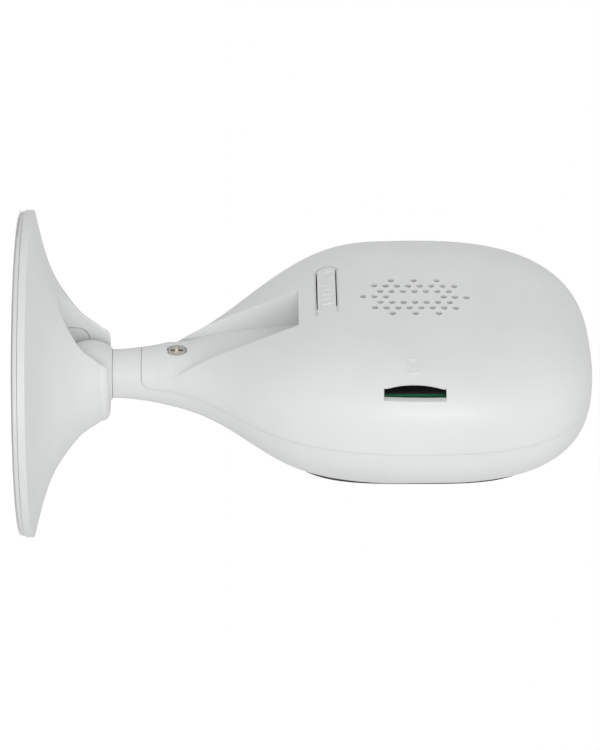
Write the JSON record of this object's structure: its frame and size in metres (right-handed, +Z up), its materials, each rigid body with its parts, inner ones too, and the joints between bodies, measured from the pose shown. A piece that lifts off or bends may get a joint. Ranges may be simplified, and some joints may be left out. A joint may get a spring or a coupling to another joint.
{
  "type": "baby monitor camera",
  "caption": "Small indoor video monitor: flat-faced egg-shaped camera head on a short neck, with a swivelling ball joint in a round trumpet foot.",
  "frame": {"origin": "centre of the foot's underside, on the plane it rests on", "axes": "+Z up along the neck, the lens looks along -Y, the tilt axis runs along X"},
  "size_m": [0.066, 0.066, 0.1148],
  "materials": {
    "white_shell": "white moulded plastic with a very fine satin texture",
    "white_joint": "white moulded acetal, slightly greasy sheen",
    "white_cover": "white moulded plastic, fine satin texture",
    "soft_rubber": "soft black silicone rubber",
    "foot_rubber": "pale grey non-slip rubber",
    "soft_foam": "closed-cell black foam",
    "tape": "thin black double-sided adhesive",
    "zinc_steel": "zinc-plated steel",
    "nickel_screw": "nickel-plated steel",
    "plain_steel": "plain rolled steel",
    "spring_steel": "blued spring steel",
    "nylon": "natural nylon",
    "black_window": "polished black-tinted plastic that passes infrared",
    "circuit_board": "green solder mask on glass fibre",
    "tinned_steel": "bright tinned steel",
    "black_plastic": "black moulded plastic",
    "chip_black": "moulded chip package",
    "cable_black": "thin black coaxial cable",
    "sensor_glass": "image sensor under cover glass",
    "filter_glass": "pale cyan infrared-blocking glass",
    "clear_glass": "clear glass",
    "lens_glass": "coated optical glass",
    "copper_coil": "enamelled copper wire",
    "brass_spacer": "turned brass",
    "clear_lamp": "clear epoxy"
  },
  "bodies": {
    "foot": {"base_shell": "white_shell", "ball_seat": "white_joint", "friction_pad": "soft_rubber", "seat_screws": "zinc_steel", "weight_plate": "plain_steel", "bottom_cover": "white_cover", "foot_pad": "foot_rubber", "bottom_screws": "zinc_steel"},
    "ball": {"tilt_ball": "white_joint", "swivel_washer": "nylon", "friction_spring": "spring_steel", "thrust_washer": "plain_steel", "retaining_clip": "spring_steel"},
    "reset_button": {"reset_tab": "white_shell"},
    "reset_pin": {"reset_plunger": "black_plastic"},
    "filter": {"filter_slide": "black_plastic", "day_filter": "filter_glass", "night_filter": "clear_glass"},
    "head": {"front_housing": "white_shell", "rear_housing": "white_shell", "lens_gasket": "soft_foam", "speaker_gasket": "soft_foam", "microphone_boot": "soft_rubber", "window_tape": "tape", "board_screws": "zinc_steel", "neck_screw": "nickel_screw", "front_window": "black_window", "main_board": "circuit_board", "led_board": "circuit_board", "wifi_antenna": "circuit_board", "usb_socket": "tinned_steel", "card_socket": "black_plastic", "card_socket_cover": "tinned_steel", "radio_can": "tinned_steel", "reset_switch": "black_plastic", "speaker": "black_plastic", "processor": "chip_black", "power_inductor": "chip_black", "antenna_cable": "cable_black", "image_sensor": "sensor_glass", "lens_holder": "black_plastic", "filter_coil": "copper_coil", "lens_barrel": "black_plastic", "front_lens": "lens_glass", "rear_lens": "lens_glass", "board_spacers": "brass_spacer", "infrared_leds": "clear_lamp", "light_sensor": "clear_lamp", "status_light": "clear_lamp", "light_pipe": "clear_lamp", "microphone": "tinned_steel"}
  },
  "joints": [
    {"name": "tilt", "type": "hinge", "parent": "foot", "child": "ball", "pos_m": [0, 0, 0.0141], "axis": [-1, 0, 0], "range_deg": [-5, 72]},
    {"name": "swivel", "type": "hinge", "parent": "ball", "child": "head", "pos_m": [0, 0, 0.01865], "axis": [0, 0, 1], "continuous": true},
    {"name": "reset_press", "type": "hinge", "parent": "head", "child": "reset_button", "pos_m": [-0.0024, 0.0153, 0.0615], "axis": [0, 0, -1], "range_deg": [0, 1.2], "stiffness_Nm_per_rad": 0.4},
    {"name": "reset_pin_slide", "type": "slide", "parent": "head", "child": "reset_pin", "axis": [0, -1, 0], "range_m": [0, 0.00027]},
    {"name": "filter_shift", "type": "slide", "parent": "head", "child": "filter", "axis": [1, 0, 0], "range_m": [0, 0.005]}
  ],
  "couplings": [
    {"joint": "reset_pin_slide", "follows": "reset_press", "m_per_rad": 0.0122}
  ]
}
